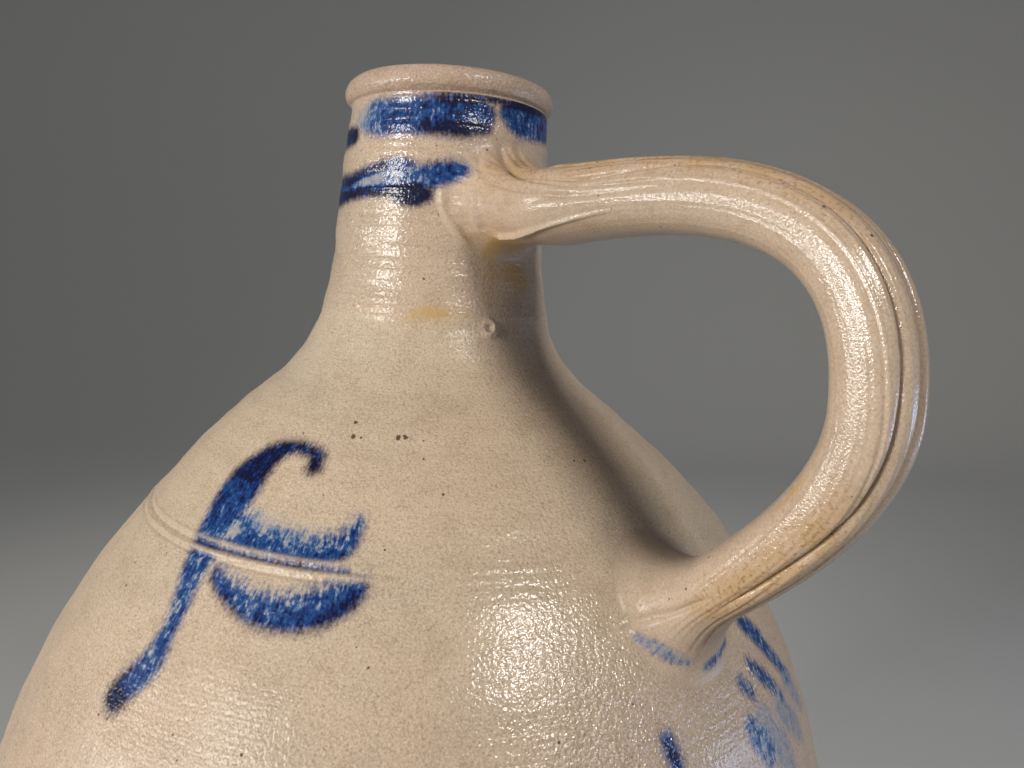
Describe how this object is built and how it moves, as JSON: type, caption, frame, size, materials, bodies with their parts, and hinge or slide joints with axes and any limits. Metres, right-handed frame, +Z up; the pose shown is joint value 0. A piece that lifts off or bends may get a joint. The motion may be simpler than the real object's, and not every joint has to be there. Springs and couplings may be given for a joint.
{
  "type": "stoneware jug",
  "caption": "Ovoid salt-glazed stoneware jug with a narrow neck, rolled lip and loop strap handle, brushed with cobalt strokes.",
  "frame": {"origin": "centre of the flat underside, on the surface that the jug stands on", "axes": "+Z up along the vessel's axis, +X toward the handle"},
  "size_m": [0.2459, 0.2332, 0.372],
  "materials": {
    "stoneware": "salt glaze over buff-grey stoneware, orange-peel gloss",
    "luting_clay": "salt glaze over the same clay, wiped smooth",
    "cobalt_slip": "brushed cobalt slip under salt glaze"
  },
  "bodies": {
    "root": {"lower_body": "stoneware", "upper_body": "stoneware", "neck_and_lip": "stoneware", "handle_strap": "stoneware", "upper_smear": "luting_clay", "lower_smear": "luting_clay", "collar_stroke": "cobalt_slip", "neck_dab": "cobalt_slip", "neck_stroke": "cobalt_slip", "leaf_stem": "cobalt_slip", "leaf_upper": "cobalt_slip", "leaf_lower": "cobalt_slip", "flower_long": "cobalt_slip", "flower_short": "cobalt_slip", "flower_petal": "cobalt_slip", "flower_dab": "cobalt_slip"}
  },
  "joints": []
}
